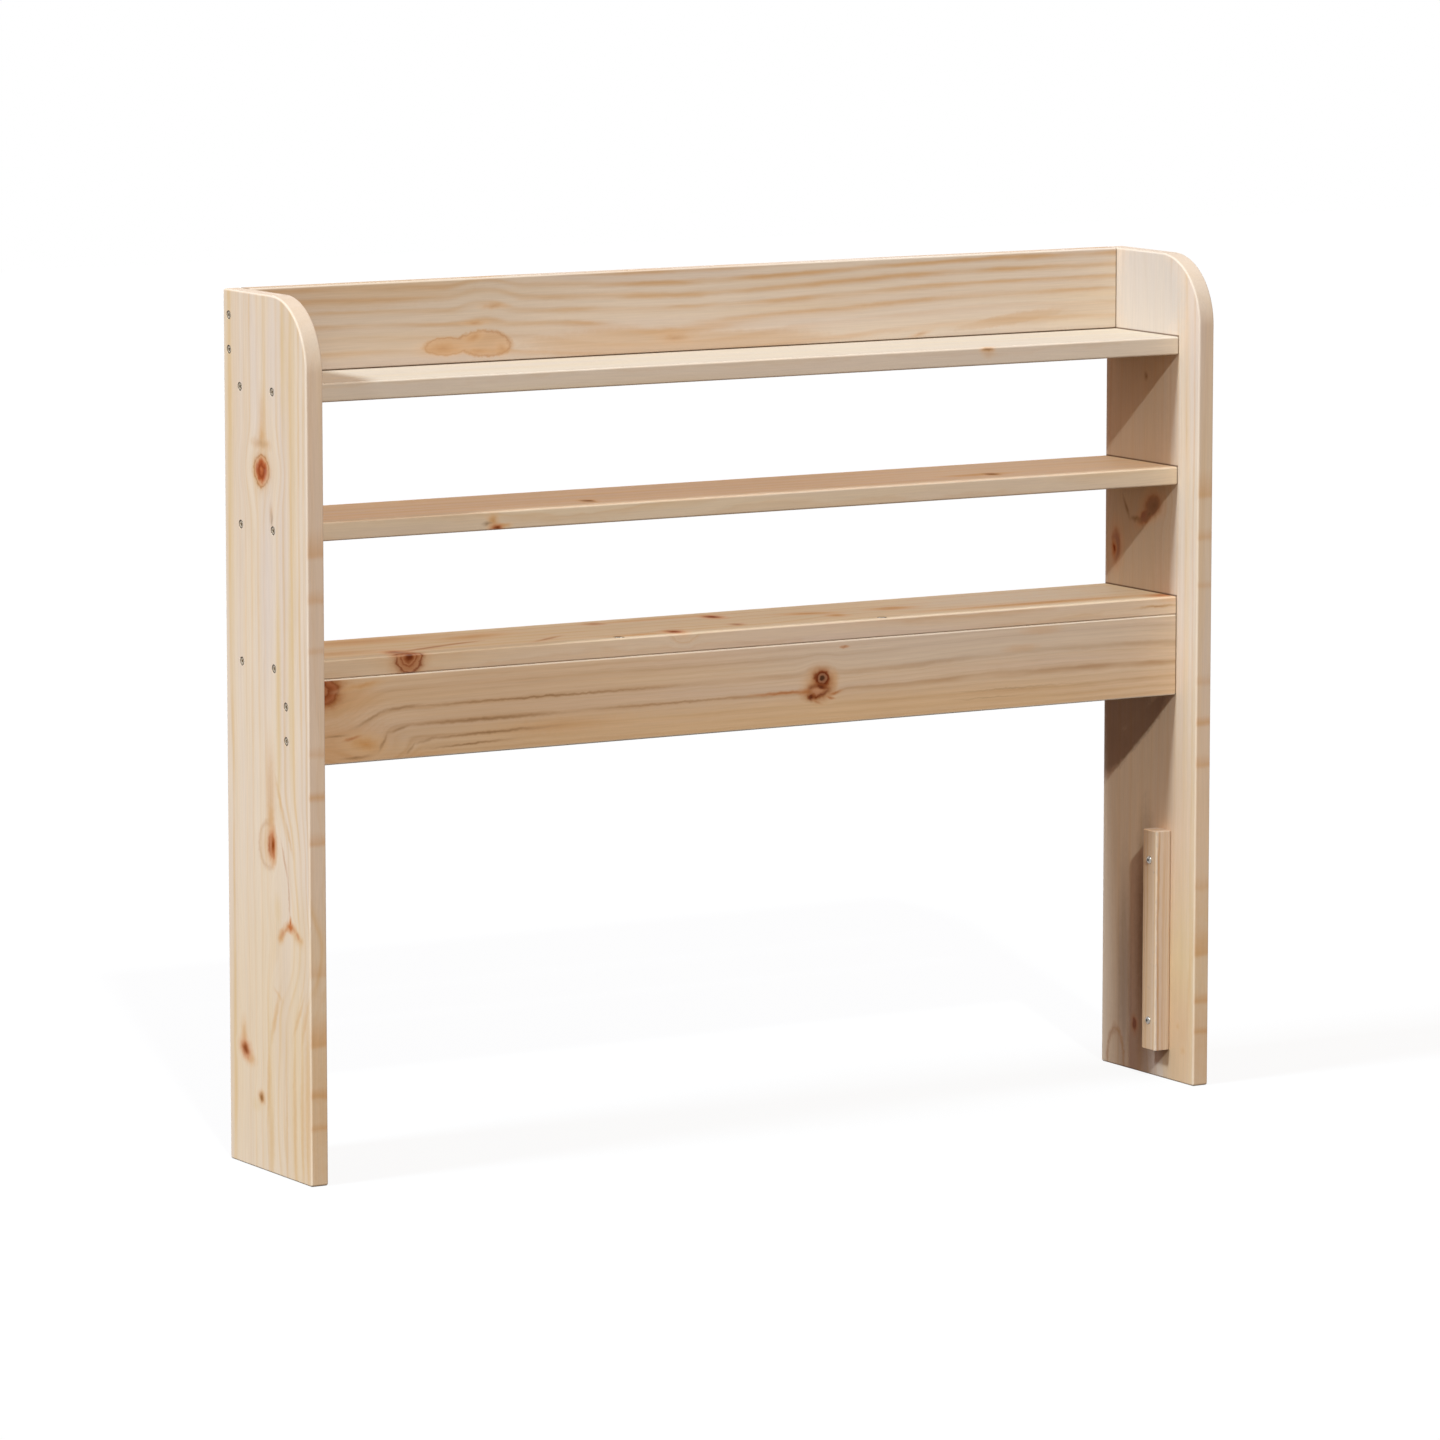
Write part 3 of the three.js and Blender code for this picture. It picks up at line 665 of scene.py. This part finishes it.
for side, sign in SIDES.items():
    low, high = map(np.array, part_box(f"{side}_side_panel"))
    panel = skin(f"pine_{side}_side_panel", panel_rings(low, high, 7 if side == "left" else 8))
    cut(panel, bores(side_screws([side], BOARD_NAMES), stepped_bore) + bores(cleat_screws[side], plain_bore))
    # Dust and painted contact shade lie where each shelf's top meets the inner face, along the shelf's open
    # depth
    on_inner_face = (0, sign * inner_face, 2.0)
    seams = [(2, top, on_inner_face, (1, 22.0, 80.0)) for top in (605.3, 765.3)]
    seams.append((2, 925.3, on_inner_face, (1, 11.0, 69.0)))
    wood = pine(f"planed_pine_{side}_panel", 2, (low, high), pitch=8.0, late="#F8E9CF", fine=0.25,
                bands=edge_bands, joints=seams, worn=0.3, **panel_wood[side])
    finish(panel, wood, [f"{side}_side_panel"])


# Shelves: three planed pine boards, 22 by 160 mm, that butt against the panels, flush with their back edges.
# The long arrises are sanded and the ends are cut square, with a hairline joint at each panel.
def board_rings(low, high, seed, foot=1.0, end=1.1 * MM, stations=41, steps=7):
    """A board's section, a rectangle with a quarter circle of slowly changing radius at each corner (foot is
    the lower front corner's share), carried along X and drawn in by end (1 - sin a) over the last
    millimetre, where a saw cut's rim is eased."""
    half = (high - low) / 2
    middle = (high + low) / 2
    share = np.repeat([foot, 1.0, 1.0, 1.0], steps + 1)[None, :, None]
    eased = easing(stations, seed, arris * 0.94, 0.06)[:, None, None] * share
    signs, ray = corners(*[steps] * 4)
    inward, onward = rim(4)
    inset = np.zeros((stations, 1, 1))
    inset[:4, 0, 0] = end * inward
    inset[-4:] = inset[3::-1]
    x = np.linspace(-half[0], half[0], stations)
    x[:4] = -half[0] + end * onward
    x[-4:] = -x[3::-1]
    section = signs * (half[1:] - eased) + (eased - inset) * ray
    x = np.broadcast_to(x[:, None, None], (*section.shape[:2], 1))
    return np.concatenate([x, section], -1) + middle


def make_board(board, wood_name, seed, foot=1.0, screws=(), joints=(), **figure):
    """A board along X between the panels, with its holes for the screws in its ends and for other screws."""
    low, high = map(np.array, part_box(board))
    piece = skin(f"pine_{board}", board_rings(low, high, seed, foot))
    cut(piece, bores([*side_screws(SIDES, [board]), *screws], stepped_bore))
    gap = 0.1
    joints = [(0, gap - inner_face), (0, inner_face - gap), *joints]
    wood = pine(wood_name, 0, (low, high), joints=joints, **figure)
    finish(piece, wood, [board])


looks["soft_knot"] = [
    (0, "#B3744B", 0.95), (0.4, "#BE845A", 0.9), (0.9, "#CE9B72", 0.75), (1.4, "#DAB08A", 0.4),
    (2.1, "#E0BB96", 0)]
looks["ringed_knot"] = [
    (0, "#6A2A0E", 0.98), (0.17, "#7E3814", 0.98), (0.31, "#A45E34", 0.95), (0.42, "#BA784C", 0.9),
    (0.52, "#9A522A", 0.95), (0.64, "#B6764A", 0.9), (0.8, "#BC7C50", 0.85), (0.93, "#8A4420", 0.95),
    (1.06, "#B87E54", 0.75), (1.3, "#CE9E74", 0.45), (1.9, "#D8B088", 0)]
looks["pale"] = wash("#D8CDBE", 0.9, 0.8, 0.7, 1.4)
looks["sunlit"] = wash("#E8D4A6", 0.35, 0.35, 1, 1.25)
# Painted shade: the middle shelf's top face drawn warmer and darker
looks["top_painted_warm_shade"] = wash("#DFA976", 0.35, 0.35, 1, 1.25)
# Painted shade: the top shelf's top face drawn greyer and darker
looks["top_painted_shade"] = wash("#C9BDAA", 0.5, 0.5, 1, 1.25)
looks["screw_shade"] = wash("#6A5340", 0.9, 0.9, 0.95, 1.15)
shelf_finish = {"pitch": 7.0, "fine": 0.4, "worn": 0.15}
make_board(
    "bottom_shelf", "planed_pine_bottom_shelf", 20, foot=0.75, screws=rail_top_screws, **shelf_finish,
    seen=(2, 605), pith=(0, -330, 520), ground="#E2C7AA", late="#EED2AA",
    years=[(-46, 6, 4, 0.6), (-26, 6, 4, 0.7), (-4, 7, 5, 0.6), (22, 7, 5, 0.7), (48, 7, 5, 0.6),
           (76, 6, 5, 0.8)],
    bends=[((170, 0, 605), (170, 60, 90), 24), ((-560, -58, 600), (120, 60, 60), 10)],
    marks=[
        ("sunlit", 1, 0, ((0, 22, 609), (2400, 400, 4.5))),
        ("pale", 0.75, 0, ((430, 40, 609), (180, 60, 5))),
        ("tan", 0.5, 0, ((-430, 40, 605), (260, 80, 5))),
        ("sapwood", 0.2, 0, ((400, 30, 605), (240, 90, 5))),
        ("corner_shade", 0.12, 0, ((-575, -58, 594), (70, 8, 14))),
        # Painted shade along the front strip of the shelf's top, under the shelf above
        ("dusk", 0.6, 0, ((0, -51, 609), (2400, 13, 6))),
        ("flame", 0.8, 0, ((-470, 72, 605), (120, 30, 6)), ((-330, 45, 605), (60, 22, 6), 10)),
        ("flame", 0.6, 0, ((-540, -10, 605), (70, 20, 6)), ((-60, 78, 605), (90, 12, 6))),
        ("flame", 1, 0, ((125, 30, 605), (40, 13, 6), -12), ((240, 22, 605), (34, 16, 6))),
        ("flame", 0.9, 0, ((430, -26, 605), (160, 14, 6)), ((-150, -40, 605), (50, 8, 6))),
        ("dark_knot", 1, 0, ((-473, -38, 605), (11, 13, 8))),
        ("ringed_knot", 1, 0.5, ((-470, -58, 601.5), (18, 12, 19))),
        ("line", 1, 0, ((-486, -57, 606), (13, 3, 4))),
        ("soft_knot", 0.9, 0, ((-420, -17, 605), (48, 5, 6), 20), ((-375, -2, 605), (30, 4, 6), 14)),
        ("soft_knot", 0.8, 0, ((-262, -17, 605), (26, 4, 6), 32)),
        ("dark_knot", 1, 0.5, ((-101, -37, 605), (9, 11, 8))),
        ("soft_knot", 0.8, 0, ((-147, 75, 605), (12, 10, 8))),
        ("dark_knot", 1, 0.5, ((9, 61, 605), (9, 12, 8))),
        ("soft_knot", 0.9, 0, ((-2, -16, 605), (8, 9, 8))),
        ("flame", 1, 0, ((146, -2, 605), (16, 15, 8))),
        ("orange_knot", 0.8, 0, ((595, -40, 605), (20, 12, 8))),
        ("screw_shade", 1, 0, ((-182.5, -47, 606), (5.9, 5.9, 6))),
        ("screw_shade", 1, 0, ((182.5, -47, 606), (5.9, 5.9, 6))),
        ("bark", 1, 0, ((574, -58, 594.5), (40, 6, 2), -6)),
    ])
make_board(
    "middle_shelf", "planed_pine_middle_shelf", 21, **shelf_finish,
    seen=(2, 765), pith=(0, -360, 700), ground="#E2CAAB", late="#F3DCBC",
    years=[(-48, 6, 4, 0.4), (-30, 6, 4, 0.4), (-9, 7, 5, 0.4), (17, 7, 5, 0.4), (44, 7, 5, 0.4),
           (72, 6, 5, 0.4)],
    bends=[((300, 0, 765), (260, 60, 60), 10)],
    marks=[
        # Painted shade over the whole top face
        ("top_painted_warm_shade", 1, 0, ((0, 22, 769), (2400, 400, 4.5))),
        ("sapwood", 0.2, 0, ((400, 22, 765), (240, 90, 5))),
        # Painted shade along the front strip of the shelf's top, under the shelf above
        ("dusk", 0.5, 0, ((0, -51, 769), (2400, 13, 6))),
        ("flame", 1, 0, ((345, -9, 765), (56, 13, 8))),
        ("dot", 1, 0.4, ((-207, -17, 765), (9, 12, 8))),
        ("dot", 1, 0.4, ((361, -12, 765), (10, 11, 8))),
        ("flame", 1, 0, ((-358, -58, 754), (8, 9, 9)), ((-345, -58, 748), (13, 9, 3))),
        ("smudge", 0.9, 0, ((-366, -58, 751), (6, 9, 2.5))),
        ("dark_knot", 1, 0, ((-353, -58, 745.5), (6, 9, 3.2))),
    ])
make_board(
    "top_shelf", "planed_pine_top_shelf", 22, joints=[(1, 79.6, (2, 925.0, 3.0))], **shelf_finish,
    seen=(2, 925), pith=(0, -340, 990), ground="#DDCBB2", late="#F6E6CF",
    years=[(-44, 6, 4, 0.35), (-22, 6, 4, 0.35), (2, 7, 5, 0.35), (28, 7, 5, 0.35), (54, 6, 5, 0.35)],
    marks=[
        # Painted shade over the whole top face
        ("top_painted_shade", 1, 0, ((0, 11, 929), (2400, 400, 4.5))),
        ("rose", 0.6, 0, ((100, -58, 914), (700, 5, 14))),
        # Painted shade along the back of the top, by the back board
        ("dusk", 0.8, 0, ((0, 81, 929), (2400, 13, 6))),
        ("dot", 0.9, 0, ((325, -57, 922), (7, 5, 2.2))),
        ("flame", 0.4, 0, ((326, -58, 917), (10, 5, 6))),
    ])


# Front rail: a flat-sawn pine board, 22 by 100 mm, on edge under the bottom shelf's front. Two screws come
# down through the shelf into it. Its knots and wide contour lines are the boldest figure on the headboard.
looks["dark_crack"] = [
    (0, "#5A2A16", 0.9), (0.6, "#7A3A1D", 0.85), (1.1, "#9A5A34", 0.4), (1.8, "#B98358", 0)]
looks["resin_pocket"] = [
    (0, "#4A2E1E", 0.98), (0.26, "#5A3622", 0.98), (0.42, "#9C6A4E", 0.95), (0.56, "#A06848", 0.95),
    (0.72, "#6E2C10", 0.98), (0.92, "#8A4420", 0.95), (1.15, "#B87C50", 0.7), (1.6, "#CC9A70", 0.25),
    (2.4, "#D4AA86", 0)]
looks["framed_patch"] = [
    (0, "#C68C68", 0.95), (0.35, "#C08460", 0.95), (0.56, "#A05C34", 0.95), (0.74, "#783410", 0.98),
    (0.94, "#98562C", 0.9), (1.2, "#BC8456", 0.6), (1.8, "#CCA078", 0)]
looks["half_knot"] = [
    (0, "#B06C44", 0.9), (0.26, "#AC6840", 0.9), (0.42, "#843C16", 0.95), (0.56, "#9A522A", 0.95),
    (0.74, "#A85E36", 0.9), (0.9, "#945028", 0.95), (1.08, "#B0703F", 0.8), (1.3, "#C08A5C", 0.65),
    (1.6, "#CC9C6E", 0.4), (2.3, "#D6AC80", 0)]
looks["streak"] = [(0, "#9E7852", 0.9), (0.5, "#B08860", 0.7), (1.2, "#CCA886", 0)]
looks["amber"] = [(0, "#D6A676", 0.85), (0.6, "#D8A878", 0.65), (1.3, "#DAAE80", 0)]
looks["warm"] = wash("#DEB688", 0.85, 0.65)
rail_front = -58
rail_marks = placed(1, rail_front, 60, [
    ("corner_shade", 0.12, 0, ((-420, 503), (260, 26))),
    # Painted shade at the rail's right end, by the panel
    ("dusk", 0.3, 0, ((606, 533), (30, 90))),
    ("pale", 0.35, 0, ((330, 566), (280, 24))),
    ("warm", 0.5, 0, ((-330, 540), (260, 60))),
    ("warm", 0.9, 0, ((80, 493), (540, 27))),
    ("flame", 0.45, 0, ((-270, 508), (110, 12)), ((-460, 486), (60, 9))),
    ("amber", 1, 0, ((-575, 500), (80, 34))),
    ("amber", 0.9, 0, ((-560, 560), (50, 24))),
    ("half_knot", 1, 0.6, ((-583, -50, 569), (22, 60, 17))),
    ("flame", 0.8, 0, ((-530, 573), (30, 4), -8)),
    ("flame", 1, 0, ((-528, 504), (27, 11), 10)),
    ("line", 0.9, 0, ((-545, 512), (14, 2.5), -10)),
    ("streak", 0.7, 0, ((-566, 516), (20, 2)), ((-520, 534), (28, 2.6), -24)),
    ("streak", 0.8, 0, ((-480, 543.5), (30, 2.6), -5), ((-504, 505), (14, 2.6), -58)),
    ("streak", 0.8, 0, ((-482, 519), (18, 2.6), -14), ((-540, 489.5), (22, 2.2))),
    ("streak", 0.6, 0, ((-468, 494), (11, 2.2), -50), ((-448, 502.5), (18, 2.4), -12)),
    ("streak", 0.95, 0, ((-290, 543.5), (210, 2)), ((-370, 522.5), (125, 2.8))),
    ("streak", 1, 0, ((-365, 506), (95, 2.4), -1), ((-390, 494.5), (60, 1.8), -2)),
    ("streak", 0.6, 0, ((-110, 523.5), (140, 1.8))),
    ("streak", 0.4, 0, ((370, 508), (100, 1.4)), ((330, 499), (60, 1.2))),
    ("amber", 1, 0, ((107, 536), (8, 12)), ((88, 530), (24, 20))),
    ("framed_patch", 1, 0, ((86, 524), (16, 9), -8)),
    ("resin_pocket", 1, 0.5, ((92, 538.5), (11.5, 9.5), 25)),
    ("dark_crack", 1, 0, ((90, 528.5), (8, 3), 12), ((76, 517), (4, 3), 60)),
    ("line", 1, 0, ((40, 524.5), (50, 2.5)), ((68, 524), (14, 4))),
    ("line", 1, 0, ((110, 519.5), (12, 2.4), -12), ((103, 514.5), (8, 2), 16)),
    ("line", 0.6, 0, ((85, 511), (9, 2), 25)),
    ("line", 0.9, 0, ((123, 574.5), (7, 2.2))),
    ("amber", 0.45, 0, ((405, 577), (30, 6)), ((375, 556), (26, 5))),
])
make_board(
    "front_rail", "planed_pine_front_rail", 31, screws=rail_top_screws, marks=rail_marks,
    seen=(1, rail_front), pith=(0, 70, 330), ground="#E0C2A2", late="#D4BC9F",
    pitch=6.0, drift=3.0, fine=0.25, worn=1.0,
    years=[(488, 3, 3, 0.45), (496, 4, 3, 0.5), (507, 5, 4, 0.6), (523.5, 6, 5, 0.7), (544, 6, 5, 0.7),
           (565, 8, 5, 0.35), (576, 4, 3, 0.25)],
    bends=[((-600, -58, 530), (140, 60, 95), -26), ((-525, -58, 480), (75, 60, 62), -30),
           ((-478, -58, 490), (34, 60, 26), -10), ((430, -58, 560), (380, 60, 62), 9)])


# Upper back board: a flat-sawn pine board, 22 by 100 mm, on edge on the back of the top shelf, flush with
# the panels' tops and held by screws in its ends. Its broad wavy bands come from rings cut nearly flat.
looks["pool"] = [
    (0, "#C49A6C", 0.7), (0.82, "#C69C70", 0.7), (0.94, "#B08050", 0.85), (1.04, "#BE9468", 0.45),
    (1.16, "#D0AE88", 0)]
looks["wedge"] = [
    (0, "#C6A683", 0.8), (0.75, "#C6A683", 0.75), (1.0, "#C4A27E", 0.45), (1.25, "#C4A27E", 0)]
# Painted shade: the back board's left end, beside the left panel, drawn darker
looks["grey"] = wash("#B8A48C", 0.3, 0.25, 0.7, 1.4)
board_front = 80
back_board_marks = placed(1, board_front, 60, [
    # Painted shade beside the left panel
    ("grey", 1, 0, ((-470, 975), (260, 90))),
    ("pale", 0.35, 0, ((400, 948), (260, 24))),
    ("pool", 0.85, 0, ((-342, 946), (31, 10.5)), ((-291, 947), (36, 15.5), 4)),
    ("bark", 0.7, 0, ((-348, 944), (28, 9)), ((-306, 955), (13, 6), -20)),
    ("bark", 0.45, 0, ((-268, 940), (9, 8), 30), ((-300, 938), (16, 4))),
    ("bark", 0.7, 0, ((-279, 991), (18, 4)), ((-304, 972), (16, 3.5))),
    ("wedge", 0.7, 0, ((-90, 939), (130, 15), 2), ((40, 934), (130, 12))),
    ("bark", 0.6, 0, ((-31, 942), (24, 6))),
    ("wedge", 0.5, 0, ((-480, 1016), (150, 20))),
    ("wedge", 0.6, 0, ((446, 943), (72, 6), -6)),
    ("wedge", 0.3, 0, ((520, 948), (100, 9), -4)),
    ("bark", 0.6, 0, ((316, 931), (16, 3), -12)),
])
make_board(
    "upper_back_board", "planed_pine_back_board", 32, joints=[(2, 925.1)], marks=back_board_marks,
    seen=(1, board_front), pith=(0, 190, 780), ground="#D5C4B0", late="#F0D3AD",
    pitch=11.0, drift=4.0, fine=0.12,
    years=[(944, 7, 4, 0.5), (960, 8, 4, 0.35), (975, 7, 4, 0.75), (991, 7, 4, 0.7), (1006, 7, 5, 0.85),
           (1020, 7, 4, 0.85), (1033, 6, 4, 0.8)],
    bends=[((0, 80, 990), (520, 60, 260), -10), ((0, 80, 925), (430, 60, 60), -10),
           ((-292, 80, 1002), (62, 60, 50), 10), ((-60, 80, 948), (230, 60, 30), -10)])


# Cleats: short pine battens, 22 by 30 mm, upright on the panels' inner faces, that stop the bed's head end.
# Each is sawn off square, eased all round, and held by two dome head screws.
def cleat_rings(low, high, ease=1.0 * MM, steps=7):
    """A rounded rectangle in X and Y carried up Z, drawn in by ease over the first and last ring."""
    half = (high - low) / 2
    middle = (high + low) / 2
    signs, ray = corners(*[steps] * 4)
    inward, onward = rim(4)
    inset = np.concatenate([inward, inward[::-1]]) * ease
    z = np.concatenate([-half[2] + onward * ease, half[2] - onward[::-1] * ease])
    section = signs * (half[:2] - arris) + (arris - inset[:, None, None]) * ray
    level = np.broadcast_to(z[:, None, None], (*section.shape[:2], 1))
    return np.concatenate([section, level], -1) + middle


# Painted light: each cleat's side that faces the middle is drawn paler
looks["side_painted_light"] = wash("#FFD7A7", 0.5, 0.5, 1, 1.25)
for side, sign in SIDES.items():
    low, high = map(np.array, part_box(f"{side}_cleat"))
    cleat = skin(f"pine_{side}_cleat", cleat_rings(low, high))
    cut(cleat, bores(cleat_screws[side], plain_bore))
    cleat_wood = pine(
        f"planed_pine_{side}_cleat", 2, (low, high), (0, sign * 581.0), (sign * 500.0, -140.0, 0.0),
        drift=3.0, fine=0.5, pitch=4.0, ground="#D8C0A7", late="#EBCDA6", worn=0.3,
        years=[(-46, 3, 2, 0.8), (-39, 3, 2, 0.5), (-30, 3, 2, 1.0), (-24, 3, 2, 0.6)],
        marks=[("side_painted_light", 1, 0, ((sign * 577, -35, 175), (4.5, 400, 2400)))])
    finish(cleat, cleat_wood, [f"{side}_cleat"])


# Furniture screws: countersunk, zinc plated steel, with a hexagon socket, 50 mm long. Two hold each board's
# end through the panel, and two hold the rail under the bottom shelf; each head lies just under the face.
def hexagon(across_flats):
    """A hexagon's radius at each angle: half the width over flats, over the cosine from the nearest flat."""
    angle = np.arange(FACETS) * 2 * np.pi / FACETS
    return across_flats / 2 / np.cos((angle + np.pi / 6) % (np.pi / 3) - np.pi / 6)


def plated_steel(name, base, cloudy, roughness):
    """Zinc plated steel: a dull grey metal with faint cloudy passivation, darker where dirt gathers and
    where shade is painted, in the socket and round the head's rim.
    """
    material = bpy.data.materials.new(name)
    t = empty_tree(material)
    place = node(t, "TexCoord", out="Object")
    cloud = node(t, "TexNoise", {"Vector": place, "Scale": 0.42 / MM, "Detail": 3.0})
    dirt_and_shade = node(t, "Attribute", out="Fac", attribute_name="grime_and_shade")
    colour = rgb(base)
    for amount, tint in ((cloud, cloudy), (dirt_and_shade, "#3A2A1C")):
        colour = node(t, "Mix", {0: amount, 6: colour, 7: rgb(tint)}, out=2, data_type="RGBA")
    metal = node(t, "MapRange", {"Value": dirt_and_shade, "To Min": 1.0, "To Max": 0.2})
    worn = node(t, "MapRange", {"Value": cloud, "To Min": roughness - 0.08, "To Max": roughness + 0.1})
    relief = node(t, "Bump", {"Height": cloud, "Strength": 0.2, "Distance": 0.02 * MM})
    surface = node(t, "BsdfPrincipled", {"Base Color": colour, "Metallic": metal, "Roughness": worn,
                                         "Normal": relief})
    node(t, "OutputMaterial", {"Surface": surface})
    return material


def screw_piece(screw_node, out, profile, steel):
    """A screw turned from rows of radius (one, or one for each side), height from the head's top and grime
    with painted shade, in millimetres. That darkening is kept on its points."""
    radius = np.stack([r * np.ones(FACETS) for r, _, _ in profile]) * MM
    height = np.array([h for _, h, _ in profile])[:, None] * MM
    screw = skin(f"steel_{screw_node}", turned(radius, height, seat_of(screw_node, out), out))
    grime_and_shade = screw.data.attributes.new("grime_and_shade", "FLOAT", "POINT")
    grime_and_shade.data.foreach_set("value", np.repeat([g for _, _, g in profile], FACETS).astype(np.float32))
    finish(screw, steel, [screw_node])


socket = hexagon(4.0)
thread_pitch = 3.0
thread_heights = np.arange(-18.5, -45.5, -0.5)
thread_turn = (thread_heights[:, None] / thread_pitch + np.arange(FACETS) / FACETS) % 1.0
thread_radius = 2.3 + 0.9 * np.clip(1 - np.abs(thread_turn - 0.5) / 0.25, 0, 1)
# Each row's last number darkens the steel: dirt in the socket, and painted shade in the socket and round the
# countersunk head's rim
screw_profile = [
    (socket * 0.96, -2.6, 0.2), (socket, -2.5, 0.2), (socket, -0.15, 0.1), (socket + 0.15, 0.0, 0.0),
    (2.9, 0.0, 0.1), (3.6, 0.0, 0.65), (4.35, 0.0, 0.85), (4.7, -0.05, 0.95), (4.95, -0.25, 1.0),
    (5.0, -0.8, 1.0), (3.2, -3.2, 1.0), (3.2, -17.0, 0.0), (2.3, -17.9, 0.0),
    *((radius, height, 0.0) for radius, height in zip(thread_radius, thread_heights)),
    (2.3, -46.0, 0.0), (0.4, -49.9, 0.0)]
dull_zinc = plated_steel("dull_zinc_plated_steel", "#D8C8B0", "#B4A48E", 0.42)
for screw_node, out in side_screws(SIDES, BOARD_NAMES) + rail_top_screws:
    screw_piece(screw_node, out, screw_profile, dull_zinc)


# Cleat screws: dome head, bright zinc plated steel, with a hexagon socket. Two go through each cleat into
# the panel, their domes proud of the wood.
dome_radius, dome_height = 5.0, 2.6
dome_socket = hexagon(3.0)
dome_rise = np.linspace(math.radians(62), 0.0, 9)
# Each row's last number darkens the steel: dirt in the socket, and painted shade in the socket and round the
# dome's foot
dome_profile = [
    (dome_socket * 0.95, -1.5, 1.0), (dome_socket, -1.4, 1.0), (dome_socket, -0.32, 0.6),
    *((dome_radius * math.cos(a), dome_height * (math.sin(a) - 1), 0.0) for a in dome_rise),
    (4.9, -dome_height, 0.8), (2.2, -dome_height, 0.0), (2.2, -33.3, 0.0), (0.3, -37.6, 0.0)]
bright_zinc = plated_steel("bright_zinc_plated_steel", "#B8B2AA", "#8C867E", 0.24)
for screw_node, out in cleat_screws["left"] + cleat_screws["right"]:
    screw_piece(screw_node, out, dome_profile, bright_zinc)
